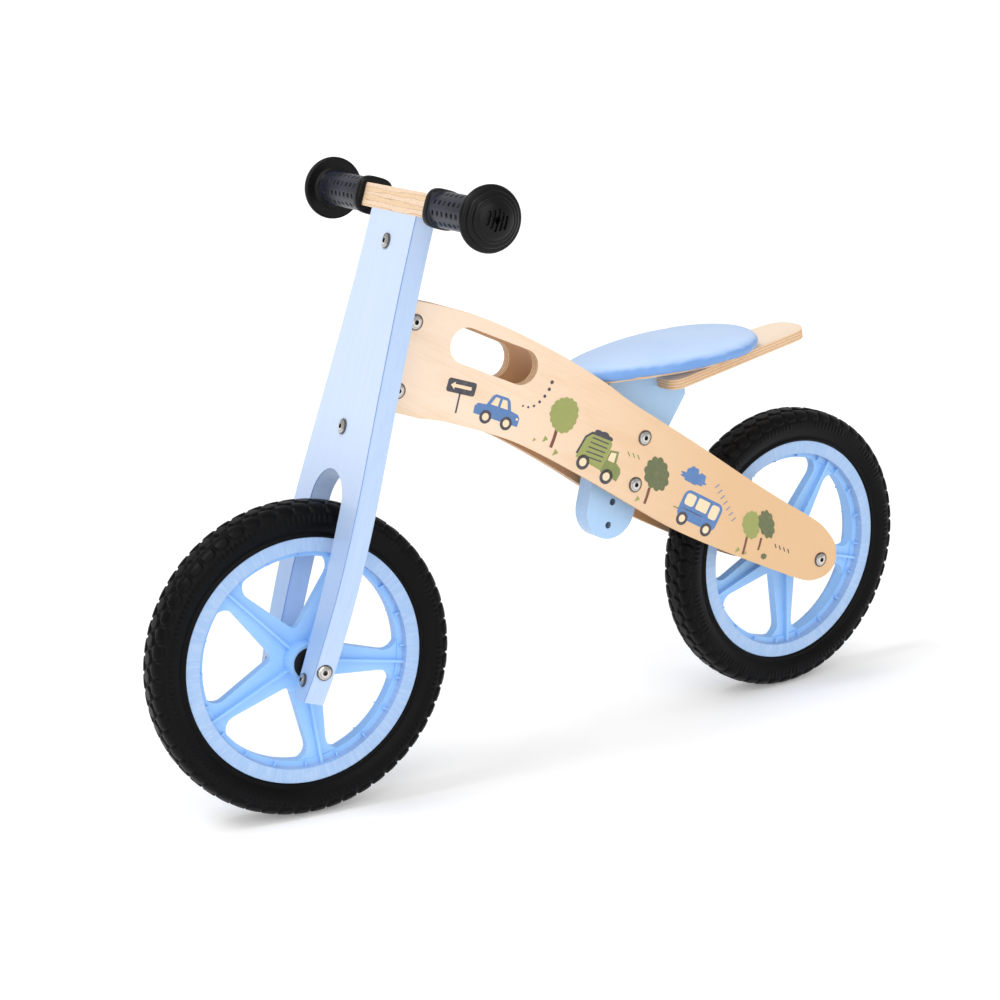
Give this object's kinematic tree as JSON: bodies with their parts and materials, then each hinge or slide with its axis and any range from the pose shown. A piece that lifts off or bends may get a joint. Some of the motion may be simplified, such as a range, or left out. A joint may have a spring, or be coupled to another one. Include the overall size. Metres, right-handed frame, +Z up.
{
  "type": "child's wooden balance bike",
  "caption": "Balance bike with two splayed plywood side panels, a slotted fork board with a square bar and grips, a padded seat on a pierced post and foam-tyred wheels",
  "frame": {"origin": "on the ground, midway between the two axles, on the centre plane of the frame", "axes": "+X forward, +Y to the rider's left, +Z up"},
  "size_m": [0.8512, 0.3423, 0.5693],
  "materials": {
    "birch_ply": "clear satin lacquer over birch plywood",
    "blue_ply": "pale blue satin paint over plywood",
    "rim_plastic": "moulded sky-blue plastic, semi-gloss",
    "tyre_foam": "matt black foam rubber",
    "grip_rubber": "matt black rubber",
    "pad_cover": "smooth pale blue cover over foam",
    "steel": "zinc plated",
    "nylon": "black nylon"
  },
  "bodies": {
    "frame": {"side_panel_left": "birch_ply", "side_panel_right": "birch_ply", "head_bracket": "steel", "head_bushes": "nylon", "nose_bolts": "steel", "seat_post": "blue_ply", "seat_spacers": "nylon", "seat_bolts": "steel", "seat_base": "birch_ply", "seat_pad": "pad_cover", "seat_screws": "steel", "tail_board": "birch_ply", "tail_dowel": "birch_ply", "tail_screws": "steel", "rear_axle": "steel", "rear_axle_caps": "steel", "rear_spacers": "nylon"},
    "fork": {"fork_board": "blue_ply", "handlebar": "birch_ply", "bar_screws": "steel", "grip_left": "grip_rubber", "grip_right": "grip_rubber", "grip_screws": "steel", "fork_bolts": "steel", "leg_bolts": "steel", "upper_knuckle": "steel", "lower_knuckle": "steel", "pivot_pins": "steel", "front_axle": "steel", "front_axle_caps": "steel", "front_spacers": "nylon"},
    "front_wheel": {"front_rim": "rim_plastic", "front_tyre": "tyre_foam", "front_bushes": "nylon"},
    "rear_wheel": {"rear_rim": "rim_plastic", "rear_tyre": "tyre_foam", "rear_bushes": "nylon"}
  },
  "joints": [
    {"name": "steering", "type": "hinge", "parent": "frame", "child": "fork", "pos_m": [0.26396, 0, 0.13572], "axis": [-0.299, 0, 0.9542], "range_deg": [-26, 44]},
    {"name": "front_wheel_spin", "type": "hinge", "parent": "fork", "child": "front_wheel", "pos_m": [0.28375, -0.00329, 0.14192], "axis": [0.1493, 0.9877, 0.0468], "continuous": true},
    {"name": "rear_wheel_spin", "type": "hinge", "parent": "frame", "child": "rear_wheel", "pos_m": [-0.284, 0, 0.142], "axis": [0, 1, 0], "continuous": true}
  ]
}
